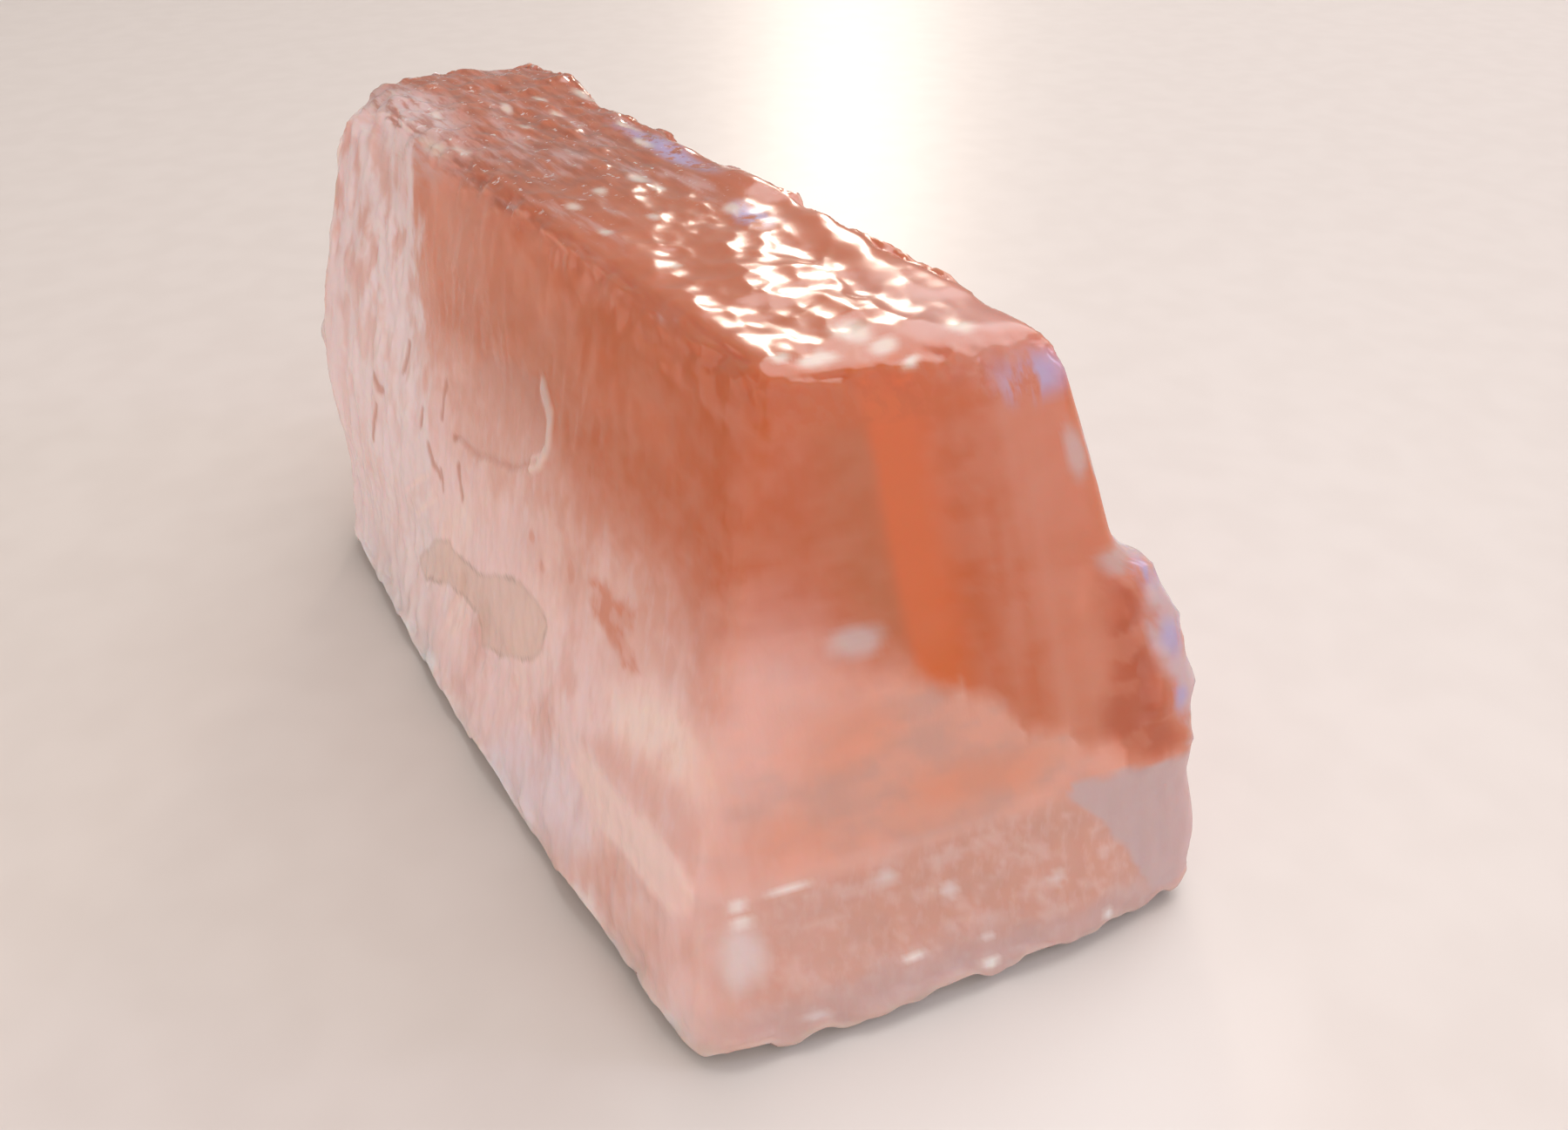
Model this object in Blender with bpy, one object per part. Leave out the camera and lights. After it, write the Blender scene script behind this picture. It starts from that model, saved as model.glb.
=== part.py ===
"""A polished pink calcite block, one natural solid that rests on its flat cleaved base.

The block is a leaning rhomb, as calcite splits: its near and far faces lean back together,
and its left and right faces lean in, so that the top is half as wide as the base.
X runs across the block, Y runs along it from the near end to the far end, and Z is up.
The origin is at the middle of the footprint box, on the surface that the block rests on.
"""

from math import floor, pi, sin

import bmesh
import bpy
from mathutils import Vector, noise

MM = 0.001

# Driving dimensions, in millimetres
BASE_WIDTH = 50.2
BASE_LENGTH = 93.5
HEIGHT = 52.3

# How far each face moves for each millimetre of height
LEFT_LEAN = 0.333
RIGHT_LEAN = 0.162
NEAR_LEAN = 0.371
FAR_LEAN = 0.385

# The near face is turned in plan by the obtuse angle of a calcite rhomb
NEAR_TURN = 0.235

# Rounding of the worn edges, with one more row of the grid part way round each
EDGE_RADIUS = 2.8
BASE_EDGE_RADIUS = 1.5
EDGE_ROW = 1.0
BASE_EDGE_ROW = 0.6

# Spacing of the surface's own grid
GRID_STEP = 2.35

# The belt is a blunt ridge that runs round the near corner above the base
BELT_HEIGHT = 15.2
BELT_SAG = 0.5
BELT_BULGE_NEAR = 1.7
BELT_BULGE_LEFT = 2.3

# On the left face the belt rises a little from the corner, then sinks and fades
BELT_RISE = 1.8
BELT_RISE_LENGTH = 12.0
BELT_LEVEL_LENGTH = 28.0
BELT_DROP = 0.17
BELT_LOWEST = 4.0
BELT_FADE = (14.0, 62.0)

# The ledge is a thicker lower half of the right side, with a flat shelf on top
SHELF_HEIGHT = 33.6
SHELF_HALF_STEP = 0.9
SHELF_WORN_STEP = 2.8
SHELF_WEAR = (9.0, 33.0)
SHELF_STEPS = ((30.0, 6.0), (62.0, 8.0))
SHELF_STEP_RUN = 9.0

# The ledge swells out over these shares of the shelf's height, and leans back above that
LEDGE_BULGE = 4.15
LEDGE_SWELL = (0.28, 0.73)
LEDGE_LEAN_START = 0.75
LEDGE_LEAN_NEAR = 0.18
LEDGE_LEAN_BACK = 0.4
LEDGE_LEAN_LENGTH = 12.0
LEDGE_WAVE = 0.1
LEDGE_WAVE_LENGTH = 47.0

# Below the ledge the right side spreads again in a low rounded heel, less at the far end
HEEL_BULGE = 2.2
HEEL_FULL = 8.0
HEEL_TOP = (10.0, 19.0)
HEEL_THINNING = 1.0

# The left face spreads outwards in a pale facet at the far end
FLARE_BULGE = 5.4
FLARE_START = 82.0
FLARE_SLANT = 0.55
FLARE_RUN = 25.0
FLARE_FOOT = 4.0
FLARE_FULL = 30.0

# The corner facet is cut off the near right corner, up to just above the belt
CORNER_CUT = 1.8
CORNER_RUN = 13.0
CORNER_TOP = (13.6, 16.6)

# The far end is rounded in plan, and the far left corner of the top is worn down
FAR_CROWN = 2.7
FAR_CORNER_DROP = 3.0
FAR_CORNER_SKEW = 1.2
FAR_CORNER_RUN = (2.0, 16.0)

# Humps on the broken right rim of the top: place along it, height and reach
RIM_HUMPS = ((14.0, 0.5, 9.0), (24.0, 0.7, 10.0), (38.0, 0.8, 7.0), (80.0, 0.7, 9.0))
RIM_START = 0.6

# The left and near faces spread at the base, the near one most towards the left corner
LEFT_FOOT = 1.7
NEAR_FOOT = 2.1
NEAR_FOOT_SKEW = 0.5
FOOT_HEIGHT = 12.0

# Relief of the surface: long waves on the polished faces, shorter ones on the broken side
BASE_FLAT = 3.0
POLISHED_WAVE = 0.35
POLISHED_WAVE_SIZE = 17.0
BROKEN_WAVE = 0.8
BROKEN_WAVE_SIZE = 8.0
BROKEN_WAVE_PLACE = Vector((31.0, 7.0, 3.0))
BROKEN_START = 22.0
CALM_SHARE = 0.35

# A second, finer layer of waves on the first
FINE_WAVE = 0.45
FINE_WAVE_SCALE = 2.3
FINE_WAVE_PLACE = Vector((17.0, 5.0, 9.0))

# Cleavage terraces of the broken side
BROKEN_TERRACE = 1.5
TERRACE_LEVELS = 2.4
TERRACE_SIZE = Vector((19.0, 27.0, 16.0))
TERRACE_FLAT = 0.4

# Dimples of the polished top
TOP_CELL = 6.2
TOP_DIMPLE = 0.42
DIMPLE_REACH = 0.62


def clear_scene():
    for thing in list(bpy.data.objects):
        bpy.data.objects.remove(thing, do_unlink=True)


def calcite_material():
    material = bpy.data.materials.new("pink_calcite")
    material.use_nodes = True
    shader = material.node_tree.nodes["Principled BSDF"]
    shader.inputs["Base Color"].default_value = (0.66, 0.30, 0.20, 1.0)
    shader.inputs["Roughness"].default_value = 0.22
    shader.inputs["Metallic"].default_value = 0.0
    return material


def smooth_step(value, start, end):
    """Rise smoothly from 0 at start to 1 at end."""
    t = min(1.0, max(0.0, (value - start) / (end - start)))
    return t * t * (3.0 - 2.0 * t)


def ramp(value, start, end):
    """Rise in a straight line from 0 at start to 1 at end."""
    return min(1.0, max(0.0, (value - start) / (end - start)))


def even_rows(start, end):
    """Even positions between two rows, about one grid step apart, with both ends."""
    count = max(1, round((end - start) / GRID_STEP))
    return [start + (end - start) * i / count for i in range(count + 1)]


def side_rows(size):
    """Positions of the cuts across one side, with close rows near both worn edges."""
    return [EDGE_ROW] + even_rows(EDGE_RADIUS, size - EDGE_RADIUS) + [size - EDGE_ROW]


def height_rows():
    """Heights of the cuts, with one on the belt and a close pair at the ledge's shelf."""
    foot_rows = even_rows(BASE_EDGE_RADIUS, BELT_HEIGHT)
    belt_rows = even_rows(BELT_HEIGHT, SHELF_HEIGHT - SHELF_HALF_STEP)[1:]
    top_rows = even_rows(SHELF_HEIGHT + SHELF_HALF_STEP, HEIGHT - EDGE_RADIUS)
    return [BASE_EDGE_ROW] + foot_rows + belt_rows + top_rows + [HEIGHT - EDGE_ROW]


def block_grid():
    """A plain box in block coordinates, cut into rows by planes across each axis."""
    bm = bmesh.new()
    bmesh.ops.create_cube(bm, size=1.0)
    bmesh.ops.translate(bm, verts=bm.verts, vec=(0.5, 0.5, 0.5))
    bmesh.ops.scale(bm, verts=bm.verts, vec=(BASE_WIDTH, BASE_LENGTH, HEIGHT))
    cuts = (
        (Vector((1.0, 0.0, 0.0)), side_rows(BASE_WIDTH)),
        (Vector((0.0, 1.0, 0.0)), side_rows(BASE_LENGTH)),
        (Vector((0.0, 0.0, 1.0)), height_rows()),
    )
    for normal, places in cuts:
        for place in places:
            everything = bm.verts[:] + bm.edges[:] + bm.faces[:]
            bmesh.ops.bisect_plane(bm, geom=everything, plane_co=normal * place, plane_no=normal)
    return bm


def worn_edge(place, size, low_radius, high_radius):
    """Split a box coordinate into its core, its share of the edge radius, and that radius."""
    core = min(size - high_radius, max(low_radius, place))
    radius = low_radius if place < core else high_radius
    return core, (place - core) / radius, radius


def rounded(point):
    """A point of the box pulled onto the worn edges, and the direction it faces there."""
    x = worn_edge(point.x, BASE_WIDTH, EDGE_RADIUS, EDGE_RADIUS)
    y = worn_edge(point.y, BASE_LENGTH, EDGE_RADIUS, EDGE_RADIUS)
    z = worn_edge(point.z, HEIGHT, BASE_EDGE_RADIUS, EDGE_RADIUS)
    facing = Vector((x[1], y[1], z[1])).normalized()
    place = Vector([core + radius * share for (core, _, radius), share in zip((x, y, z), facing)])
    return place, facing


def lumps(place, size):
    """Rounded lumps and hollows of about one size, with some finer ones on them."""
    coarse = noise.noise(place / size)
    fine = noise.noise(place * FINE_WAVE_SCALE / size + FINE_WAVE_PLACE)
    return coarse + FINE_WAVE * fine


def terraces(place):
    """Flat levels with short steps between them, as cleavage leaves on a broken side."""
    shares = [value / size for value, size in zip(place, TERRACE_SIZE)]
    level = TERRACE_LEVELS * noise.noise(Vector(shares))
    whole = floor(level)
    return whole + smooth_step(level - whole, TERRACE_FLAT, 1.0)


def dimples(place, cell):
    """Shallow bowls, 0 at their rims and -1 at their lowest points."""
    distances, _ = noise.voronoi(place / cell)
    return -max(0.0, 1.0 - (distances[0] / DIMPLE_REACH) ** 2)


def belt_profile(height, belt):
    """Bulge of the belt: straight up to the ridge and straight back to the top."""
    if height < belt:
        return height / belt
    return (HEIGHT - height) / (HEIGHT - belt)


def belt_on_left(along, height):
    """How far the left face stands out at its belt, which sinks and fades along the block."""
    belt = BELT_HEIGHT + BELT_RISE * smooth_step(along, 0.0, BELT_RISE_LENGTH)
    belt = max(BELT_LOWEST, belt - BELT_DROP * max(0.0, along - BELT_LEVEL_LENGTH))
    fade = 1.0 - smooth_step(along, *BELT_FADE)
    return BELT_BULGE_LEFT * fade * belt_profile(height, belt)


def belt_on_near(across, height):
    """How far the near face stands out at its belt, which sags a little in the middle."""
    belt = BELT_HEIGHT - BELT_SAG * sin(pi * across / BASE_WIDTH)
    return BELT_BULGE_NEAR * belt_profile(height, belt)


def flare(along, height):
    """How far the left face stands out in the pale facet at the far end."""
    start = FLARE_START - FLARE_SLANT * (HEIGHT - height)
    rise = smooth_step(height, FLARE_FOOT, FLARE_FULL)
    return FLARE_BULGE * rise * ramp(along, start, start + FLARE_RUN)


def foot(share, height):
    """Slight spread of a face where it meets the base, most at half of the share."""
    return sin(pi * share) * (1.0 - smooth_step(height, 0.0, FOOT_HEIGHT))


def shelf_height(along):
    """Height of the ledge's shelf, which goes down in cleavage steps towards the far end."""
    drops = [step * smooth_step(along, at, at + SHELF_STEP_RUN) for at, step in SHELF_STEPS]
    return SHELF_HEIGHT - sum(drops)


def ledge(along, height):
    """How far the lower half of the right side stands out."""
    shelf = shelf_height(along)
    worn = smooth_step(along, *SHELF_WEAR)
    half = SHELF_HALF_STEP + worn * (SHELF_WORN_STEP - SHELF_HALF_STEP)
    rise = smooth_step(height / shelf, *LEDGE_SWELL)
    lip = 1.0 - smooth_step(height, shelf - half, shelf + half)
    leaned = LEDGE_LEAN_BACK - LEDGE_LEAN_NEAR
    leaned = LEDGE_LEAN_NEAR + leaned * smooth_step(along, 0.0, LEDGE_LEAN_LENGTH)
    lean = 1.0 - leaned * ramp(height / shelf, LEDGE_LEAN_START, 1.0)
    wave = 1.0 + LEDGE_WAVE * sin(2.0 * pi * along / LEDGE_WAVE_LENGTH)
    return LEDGE_BULGE * rise * lip * lean * wave


def heel(along, height):
    """How far the right side stands out in its low heel."""
    rise = smooth_step(height, 0.0, HEEL_FULL) * (1.0 - smooth_step(height, *HEEL_TOP))
    return HEEL_BULGE * rise * (1.0 - HEEL_THINNING * along / BASE_LENGTH)


def corner_cut(across, height):
    """How far the corner facet goes back from the near face."""
    low = 1.0 - smooth_step(height, *CORNER_TOP)
    return CORNER_CUT * low * ramp(across, BASE_WIDTH - CORNER_RUN, BASE_WIDTH)


def left_side(along, height, waves):
    """Place of the left face across the block."""
    out = belt_on_left(along, height) + flare(along, height)
    out += LEFT_FOOT * foot(along / BASE_LENGTH, height)
    return LEFT_LEAN * height - out - POLISHED_WAVE * waves


def right_side(along, height, waves, steps):
    """Place of the right face across the block."""
    rough = BROKEN_WAVE * waves + BROKEN_TERRACE * steps
    out = ledge(along, height) + heel(along, height)
    return BASE_WIDTH - RIGHT_LEAN * height + out + rough


def near_side(across, height, waves):
    """Place of the near face along the block, before it is turned in plan."""
    out = belt_on_near(across, height) - corner_cut(across, height)
    out += NEAR_FOOT * foot((across / BASE_WIDTH) ** NEAR_FOOT_SKEW, height)
    return NEAR_LEAN * height - out - POLISHED_WAVE * waves


def far_side(across, height, waves):
    """Place of the far face along the block."""
    crown = FAR_CROWN * sin(pi * across / BASE_WIDTH)
    return BASE_LENGTH + FAR_LEAN * height + crown + BROKEN_WAVE * waves


def rim(across, along):
    """How far the humps on the right rim of the top stand up."""
    raises = [raised * (1.0 - smooth_step(abs(along - at), 0.0, reach)) for at, raised, reach in RIM_HUMPS]
    return max(raises) * smooth_step(across / BASE_WIDTH, RIM_START, 1.0)


def top_side(across, along, waves):
    """Height of the top, with its worn far left corner and its humped right rim."""
    from_corner = FAR_CORNER_SKEW * across + (BASE_LENGTH - along)
    drop = FAR_CORNER_DROP * (1.0 - smooth_step(from_corner, *FAR_CORNER_RUN))
    return HEIGHT - drop + rim(across, along) + POLISHED_WAVE * waves


def shaped(box_point):
    """Move one point of the box to its place on the stone."""
    point, facing = rounded(box_point)
    across, along, height = point
    off_base = smooth_step(height, 0.0, BASE_FLAT)
    past_corner = smooth_step(along, 0.0, BROKEN_START)
    waves = off_base * lumps(point, POLISHED_WAVE_SIZE)
    small_waves = off_base * lumps(point + BROKEN_WAVE_PLACE, BROKEN_WAVE_SIZE)
    small_waves *= CALM_SHARE + (1.0 - CALM_SHARE) * past_corner
    steps = off_base * max(0.0, facing.x) ** 2 * past_corner * terraces(point)
    left = left_side(along, height, waves)
    right = right_side(along, height, small_waves, steps)
    x = left + across / BASE_WIDTH * (right - left)
    near = near_side(across, height, waves) - NEAR_TURN * x
    far = far_side(across, height, small_waves)
    y = near + along / BASE_LENGTH * (far - near)
    z = height / HEIGHT * top_side(across, along, waves)
    place = Vector((x, y, z))
    place.z += TOP_DIMPLE * max(0.0, facing.z) ** 2 * dimples(place, TOP_CELL)
    return place


def footprint_centre(bm):
    """Middle of the block's box in X and Y."""
    xs = [vert.co.x for vert in bm.verts]
    ys = [vert.co.y for vert in bm.verts]
    return Vector(((min(xs) + max(xs)) / 2.0, (min(ys) + max(ys)) / 2.0, 0.0))


def join_base(bm):
    """Make the flat base one face."""
    base = [face for face in bm.faces if max(vert.co.z for vert in face.verts) < 1.0e-5]
    bmesh.ops.dissolve_faces(bm, faces=base)


def calcite_block(collection):
    bm = block_grid()
    for vert in bm.verts:
        vert.co = shaped(vert.co)
    join_base(bm)
    bmesh.ops.translate(bm, verts=bm.verts, vec=-footprint_centre(bm))
    bmesh.ops.scale(bm, verts=bm.verts, vec=(MM, MM, MM))
    mesh = bpy.data.meshes.new("calcite_block")
    bm.to_mesh(mesh)
    bm.free()
    mesh.materials.append(calcite_material())
    mesh.shade_smooth()
    block = bpy.data.objects.new("calcite_block", mesh)
    collection.objects.link(block)
    return block


clear_scene()
stone = bpy.data.collections.new("polished_pink_calcite")
bpy.context.scene.collection.children.link(stone)
calcite_block(stone)
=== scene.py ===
import math

import bpy
import numpy as np
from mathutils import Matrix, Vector
from mathutils.kdtree import KDTree
from mathutils.noise import fractal, seed_set, turbulence_vector


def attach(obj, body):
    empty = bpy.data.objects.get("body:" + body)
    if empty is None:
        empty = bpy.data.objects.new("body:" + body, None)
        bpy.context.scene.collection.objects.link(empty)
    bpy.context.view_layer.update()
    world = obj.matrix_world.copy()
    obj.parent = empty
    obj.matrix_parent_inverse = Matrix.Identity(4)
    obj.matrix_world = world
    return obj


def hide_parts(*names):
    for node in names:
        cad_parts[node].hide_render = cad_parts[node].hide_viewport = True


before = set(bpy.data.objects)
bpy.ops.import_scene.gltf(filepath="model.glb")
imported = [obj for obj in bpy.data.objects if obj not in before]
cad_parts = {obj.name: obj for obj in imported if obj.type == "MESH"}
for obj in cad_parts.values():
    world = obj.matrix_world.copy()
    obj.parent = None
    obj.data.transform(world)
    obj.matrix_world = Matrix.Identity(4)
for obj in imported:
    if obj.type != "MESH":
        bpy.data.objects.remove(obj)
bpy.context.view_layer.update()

MM = 0.001

# The stone: one cleaved rhomb of pink calcite, rounded and polished all over with acid. It is one
# natural piece with nothing fixed to it. Its mesh starts as a copy of the plain block, and gets
# the dimples, etched grooves, chips and cracks that the polish left.

MERGE_DISTANCE = 0.01 * MM
FLAT_ENOUGH = 0.8
FINE_AREA = ((-26 * MM, -42 * MM, 8 * MM), (-9 * MM, 42 * MM, 43 * MM))
FINE_FACING = -0.6
SMOOTH_LEVELS = 2

bpy.ops.object.select_all(action="DESELECT")
stone = bpy.data.objects.new("calcite_stone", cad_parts["calcite_block"].data.copy())
bpy.context.collection.objects.link(stone)
stone.select_set(True)
bpy.context.view_layer.objects.active = stone


def select_faces(wanted):
    """Selects the faces of the stone, in edit mode, for which wanted gives true."""
    bpy.ops.mesh.select_all(action="DESELECT")
    bpy.ops.object.mode_set(mode="OBJECT")
    for polygon in stone.data.polygons:
        polygon.select = wanted(polygon)
    bpy.ops.object.mode_set(mode="EDIT")


def in_fine_area(polygon):
    """True for the faces on the middle of the left side, which carries the finest marks."""
    low, high = FINE_AREA
    inside = all(low[i] < polygon.center[i] < high[i] for i in range(3))
    return inside and polygon.normal.x < FINE_FACING


bpy.ops.object.mode_set(mode="EDIT")
bpy.ops.mesh.select_mode(type="FACE")
bpy.ops.mesh.select_all(action="SELECT")
bpy.ops.mesh.remove_doubles(threshold=MERGE_DISTANCE)
bpy.ops.mesh.tris_convert_to_quads(face_threshold=FLAT_ENOUGH, shape_threshold=FLAT_ENOUGH)
select_faces(in_fine_area)
bpy.ops.mesh.subdivide(number_cuts=1)
bpy.ops.object.mode_set(mode="OBJECT")

bpy.ops.object.modifier_add(type="SUBSURF")
stone.modifiers[-1].levels = SMOOTH_LEVELS
stone.modifiers[-1].render_levels = SMOOTH_LEVELS
bpy.ops.object.modifier_apply(modifier=stone.modifiers[-1].name)

WEIGHT_STEPS = 20


def points_and_facings():
    """Gives the places and the outward directions of the stone's points."""
    count = len(stone.data.vertices)
    points = np.empty(count * 3)
    facings = np.empty(count * 3)
    stone.data.vertices.foreach_get("co", points)
    stone.data.vertices.foreach_get("normal", facings)
    return points.reshape(-1, 3), facings.reshape(-1, 3)


def fade(value, start, end):
    """Goes smoothly from 0 at start to 1 at end."""
    share = np.clip((value - start) / (end - start), 0, 1)
    return share * share * (3 - 2 * share)


def weight_group(name, weights):
    """Keeps a share for each point as a vertex group of the stone, in even steps."""
    group = stone.vertex_groups.new(name=name)
    for step in range(1, WEIGHT_STEPS + 1):
        members = np.flatnonzero(np.round(weights * WEIGHT_STEPS) == step)
        group.add(members.tolist(), step / WEIGHT_STEPS, "REPLACE")


def press(group, texture, strength, size, stretch=(1, 1, 1), turn=(0, 0, 0), level=1.0):
    """Presses a pattern of a size and depth into one group of points."""
    bpy.ops.object.empty_add(type="PLAIN_AXES")
    gauge = bpy.context.active_object
    gauge.rotation_euler = [math.radians(angle) for angle in turn]
    gauge.scale = [size * share for share in stretch]
    gauge.select_set(False)
    stone.select_set(True)
    bpy.context.view_layer.objects.active = stone
    bpy.ops.object.modifier_add(type="DISPLACE")
    dent = stone.modifiers[-1]
    dent.texture = texture
    dent.texture_coords = "OBJECT"
    dent.texture_coords_object = gauge
    dent.vertex_group = group
    dent.direction = "NORMAL"
    dent.mid_level = level
    dent.strength = strength
    bpy.ops.object.modifier_apply(modifier=dent.name)
    bpy.data.objects.remove(gauge)


# The parts of the surface, each as a share from 0 to 1 for every point. Places are in mm: across
# from left to right, along from the near end to the far end, and height above the floor.
FLARE_LEAN = 0.7
TOP_SMOOTHING = 14

points, facings = points_and_facings()
across, along, height = (points / MM).T
facing_right, facing_far, facing_up = facings.T
from_near = along - 0.37 * height
above_base = fade(height, 0.4, 2.5)
belt_part = 1 - fade(height, 13.0, 15.5)
far_part = fade(along, 5, 30)
flare_part = fade(along - FLARE_LEAN * height, 2, 9)
top_part = fade(facing_up, 0.46, 0.62) * fade(height, 46.5, 48.5)
edge_part = fade(height, 48.0, 49.6) * (1 - fade(facing_up, 0.90, 0.99)) * fade(facing_up, 0.2, 0.5)
near_part = fade(-facing_far, 0.5, 0.8)
left_part = fade(-facing_right, 0.5, 0.8)
right_part = fade(facing_right, 0.3, 0.7) * fade(from_near, -62, -50)
ledge_part = fade(across, 16.5, 18.5) * fade(height, 15, 18) * (1 - fade(height, 33, 36))
weight_group("top_near", top_part * (1 - far_part) * (1 - 0.6 * fade(across, 6, 10)))
weight_group("top_far", top_part * far_part)
weight_group("top_edge", edge_part)
weight_group("near", near_part * (1 - belt_part) * above_base)
weight_group("left", left_part * (1 - belt_part) * (1 - flare_part) * above_base)
weight_group("flare", left_part * flare_part * above_base)
weight_group("belt", np.maximum(near_part, left_part) * belt_part * above_base)
weight_group("right", right_part * above_base)
weight_group("far", fade(facing_far, 0.3, 0.7) * above_base)
weight_group("ledge", ledge_part * (1 - fade(from_near, -60, -52)))
weight_group("foot", (1 - fade(height, 2.0, 6.0)) * fade(height, 0.2, 1.5))

bowls = bpy.data.textures.new("acid_bowls", "VORONOI")
bowls.noise_scale = 1.0
bowls.distance_metric = "DISTANCE_SQUARED"
clouds = bpy.data.textures.new("soft_clouds", "CLOUDS")
clouds.noise_scale = 1.0
clouds.noise_depth = 3
steps = bpy.data.textures.new("broken_steps", "VORONOI")
steps.noise_scale = 1.0
steps.distance_metric = "MANHATTAN"

bpy.ops.object.modifier_add(type="SMOOTH")
stone.modifiers[-1].vertex_group = "top_near"
stone.modifiers[-1].iterations = TOP_SMOOTHING
bpy.ops.object.modifier_apply(modifier=stone.modifiers[-1].name)
press("top_near", bowls, 0.34 * MM, 2.7 * MM, level=0.3)
press("top_near", clouds, 0.06 * MM, 3.0 * MM, level=0.5)
press("top_edge", clouds, 1.00 * MM, 3.0 * MM, level=0.7)
press("top_far", bowls, 0.45 * MM, 2.4 * MM, stretch=(1, 1.5, 1), level=0.3)
press("top_far", clouds, 0.75 * MM, 2.0 * MM, stretch=(1, 2, 1), turn=(0, 0, 12), level=0.6)
press("near", clouds, 0.22 * MM, 7.0 * MM, level=0.6)
press("left", clouds, 0.24 * MM, 6.0 * MM, level=0.6)
press("left", clouds, 0.20 * MM, 1.5 * MM, stretch=(1, 1, 2.5), turn=(-20, 0, 0), level=0.5)
press("flare", clouds, 1.00 * MM, 2.2 * MM, stretch=(1, 1, 5), turn=(-20, 0, 0), level=0.7)
press("belt", clouds, 0.55 * MM, 2.0 * MM, stretch=(1, 1, 3), turn=(0, 0, 12), level=0.7)
press("foot", clouds, 1.40 * MM, 5.0 * MM, level=0.7)
press("ledge", bowls, 0.9 * MM, 2.8 * MM, level=0.3)
press("right", steps, 1.5 * MM, 6.0 * MM, stretch=(1, 1.6, 0.8), level=0.55)
press("right", clouds, 0.7 * MM, 2.2 * MM, stretch=(1, 1.5, 1), level=0.5)
press("far", steps, 1.1 * MM, 5.0 * MM, level=0.8)
press("far", clouds, 0.6 * MM, 2.4 * MM, level=0.7)
stone.vertex_groups.clear()

CLOUD_SOFTNESS = 0.86
CLOUD_STEP = 2.0
CLOUD_CONTRAST = 0.27

# The waves that the outlines drift in start at a random place, so it is seeded.
WAVE_SEED = 7

seed_set(WAVE_SEED)


def turned(tilt):
    """Gives the stone's points in mm, turned about X so that Z runs up a leaning face."""
    x, y, z = (points / MM).T
    sine, cosine = math.sin(math.radians(tilt)), math.cos(math.radians(tilt))
    return np.stack((x, y * cosine - z * sine, y * sine + z * cosine), axis=1)


def cloud(size, detail=3, stretch=(1, 1, 1), tilt=0.0):
    """Gives a cloudy pattern, about 0.3 to 0.7, with clouds of a size in mm."""
    places = turned(tilt) / (size * np.array(stretch))
    heights = [fractal(place, CLOUD_SOFTNESS, CLOUD_STEP, detail) for place in places.tolist()]
    return 0.5 + CLOUD_CONTRAST * np.array(heights)


def drifted(size, reach):
    """Gives the points in mm, moved about by up to that reach in waves of that size."""
    places = points / MM
    waves = [turbulence_vector(place, 3, False) for place in (places / size).tolist()]
    return places + reach * np.array(waves)


def distance_to(line, axes, places=None):
    """Gives each point's distance to a line of straight pieces, seen along one axis, in mm."""
    flat = (points / MM if places is None else places)[:, axes]
    nearest = np.full(len(flat), np.inf)
    for start, end in zip(line[:-1], line[1:]):
        start = np.array(start)
        along = np.array(end) - start
        share = np.clip((flat - start) @ along / (along @ along), 0, 1)
        reach = flat - start - share[:, None] * along
        nearest = np.minimum(nearest, np.linalg.norm(reach, axis=1))
    return nearest


def area(loop, axes, soft, places=None):
    """Gives 1 inside a closed outline and 0 outside, with a soft edge of that half width in mm."""
    across, up = (points / MM if places is None else places)[:, axes].T
    inside = np.zeros(len(points), bool)
    for (x_0, z_0), (x_1, z_1) in zip(loop, loop[1:] + loop[:1]):
        passes = (up < z_0) != (up < z_1)
        inside ^= passes & (across < x_0 + (up - z_0) * (x_1 - x_0) / (z_1 - z_0 + 1e-9))
    edge = distance_to(loop + loop[:1], axes, places)
    return fade(np.where(inside, edge, -edge), -soft, soft)


def patch(centre, radii, soft, places=None):
    """Gives a soft-edged round patch: 1 inside, 0 outside."""
    flat = ((points / MM if places is None else places) - centre) / radii
    return fade(np.linalg.norm(flat, axis=1), 1 + soft, 1 - soft)


def patches(middles_and_radii, soft, places=None):
    """Gives several soft-edged round patches as one."""
    return np.max([patch(middle, radii, soft, places) for middle, radii in middles_and_radii], axis=0)


def thin_marks(paths, core, reach):
    """Gives 1 along thin drawn lines on the left side, and 0 past their reach in mm."""
    marks = [1 - fade(distance_to(path, LEFT, straight), core, reach) for path in paths]
    return np.max(marks, axis=0) * on_left


def keep(name, values):
    """Keeps a value for each point, for the colours to read."""
    attribute = stone.data.attributes.new(name, "FLOAT", "POINT")
    attribute.data.foreach_set("value", values.astype(np.float32))


# Marks on the left side are drawn as (y, z) places in mm, and those on the near side as (x, z).
LEFT = (1, 2)
NEAR = (0, 2)
CRACKS = (
    [(29.5, 30.6), (28.7, 28.9), (28.3, 27.4)],
    [(34.6, 25.1), (33.3, 24.5), (32.1, 23.9)],
    [(32.7, 22.4), (32.5, 20.2), (31.7, 18.0)],
    [(22.3, 25.6), (21.9, 23.5)],
    [(17.0, 30.3), (16.5, 28.6), (16.3, 26.9)],
    [(18.9, 22.5), (16.9, 21.4), (14.9, 20.5)],
    [(15.2, 21.2), (14.1, 20.4), (13.4, 19.4)],
    [(10.4, 24.0), (9.3, 22.6), (7.9, 21.2)],
    [(12.6, 26.2), (12.2, 26.0)],
)
SCRATCHES = (
    [(22.4, 15.4), (19.6, 17.8), (17.5, 19.5)],
    [(18.8, 14.2), (16.8, 16.4), (15.1, 17.7)],
)
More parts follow.
